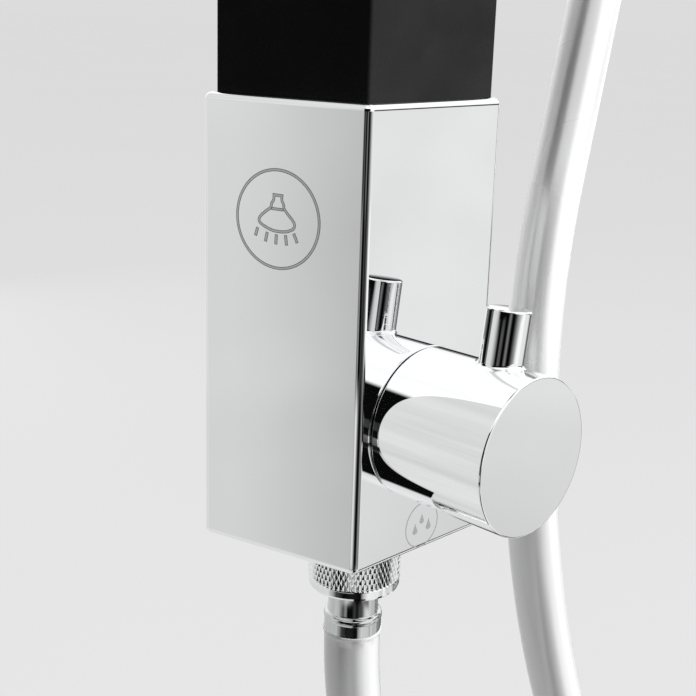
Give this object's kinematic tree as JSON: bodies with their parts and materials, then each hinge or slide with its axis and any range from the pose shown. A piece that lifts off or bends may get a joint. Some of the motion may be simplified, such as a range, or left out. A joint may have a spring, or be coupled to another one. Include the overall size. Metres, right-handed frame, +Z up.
{
  "type": "shower panel column",
  "caption": "Wall-mounted wedge-section shower column with a diverter knob, overhead shower on an arm, and a hand shower with hose.",
  "frame": {"origin": "centre of the lower wall bracket's two screw holes, on the wall's surface", "axes": "+Z up, +Y into the wall, -Y towards the person, +X to the right as seen from the front"},
  "size_m": [0.2375, 0.496, 1.5761],
  "materials": {
    "black_column": "fine-grained satin powder coat",
    "chrome": "polished",
    "chromed_plastic": "bright plated",
    "brass": "machined",
    "steel": "zinc plated",
    "copper_pipe": "drawn",
    "ceramic": "lapped",
    "black_plastic": "moulded",
    "white_plastic": "moulded",
    "grey_face": "satin",
    "rubber": "moulded",
    "nozzle_rubber": "soft",
    "hose_sleeve": "smooth satin silver"
  },
  "bodies": {
    "root": {"column_profile": "black_column", "column_top_cap": "black_column", "cap_screws": "steel", "lower_wall_bracket": "steel", "upper_wall_bracket": "steel", "bracket_lock_screws": "steel", "control_housing": "chrome", "housing_set_screws": "steel", "housing_base": "black_plastic", "base_screws": "steel", "valve_body": "brass", "valve_lock_ring": "chrome", "cartridge_seal": "rubber", "fixed_ceramic_disc": "ceramic", "cartridge_shell": "black_plastic", "spindle_seals": "rubber", "gland_nut": "brass", "inlet_nipple": "brass", "inlet_filter": "steel", "outlet_nipple": "chrome", "check_valve": "black_plastic", "hose_nut": "chrome", "hose_washer": "rubber", "hose_tail": "chrome", "shower_hose": "hose_sleeve", "riser_nut": "brass", "riser_pipe": "copper_pipe", "riser_clips": "black_plastic", "arm_elbow": "brass", "arm_nut": "brass", "arm_rosette": "chrome", "overhead_arm": "chrome", "ball_nipple": "chrome", "holder_base": "black_column", "holder_screws": "steel", "holder_cup": "chrome", "cup_liner": "black_plastic"},
    "knob": {"moving_ceramic_disc": "ceramic", "diverter_spindle": "brass", "control_knob": "chrome", "knob_set_screw": "steel"},
    "head_swivel": {"ball_seat": "white_plastic"},
    "overhead_head": {"ball_nut": "chrome", "head_shell": "chromed_plastic", "head_face": "grey_face", "head_nozzles": "nozzle_rubber"},
    "handset": {"hose_cone_nut": "chrome", "handset_tail": "chrome", "handset_washer": "rubber", "handset_shell": "chromed_plastic", "handset_face": "grey_face", "handset_nozzles": "nozzle_rubber"}
  },
  "joints": [
    {"name": "knob_turn", "type": "hinge", "parent": "root", "child": "knob", "pos_m": [0, -0.056, -0.1362], "axis": [0, -1, 0], "range_deg": [0, 188]},
    {"name": "head_turn", "type": "hinge", "parent": "root", "child": "head_swivel", "pos_m": [0, -0.384, 0.9205], "axis": [0, 0, 1], "continuous": true},
    {"name": "head_tilt", "type": "hinge", "parent": "head_swivel", "child": "overhead_head", "pos_m": [0, -0.384, 0.9205], "axis": [1, 0, 0], "range_deg": [-15, 15]},
    {"name": "handset_lift", "type": "slide", "parent": "root", "child": "handset", "axis": [0, -0.309, 0.9511], "range_m": [0, 0.06]}
  ]
}
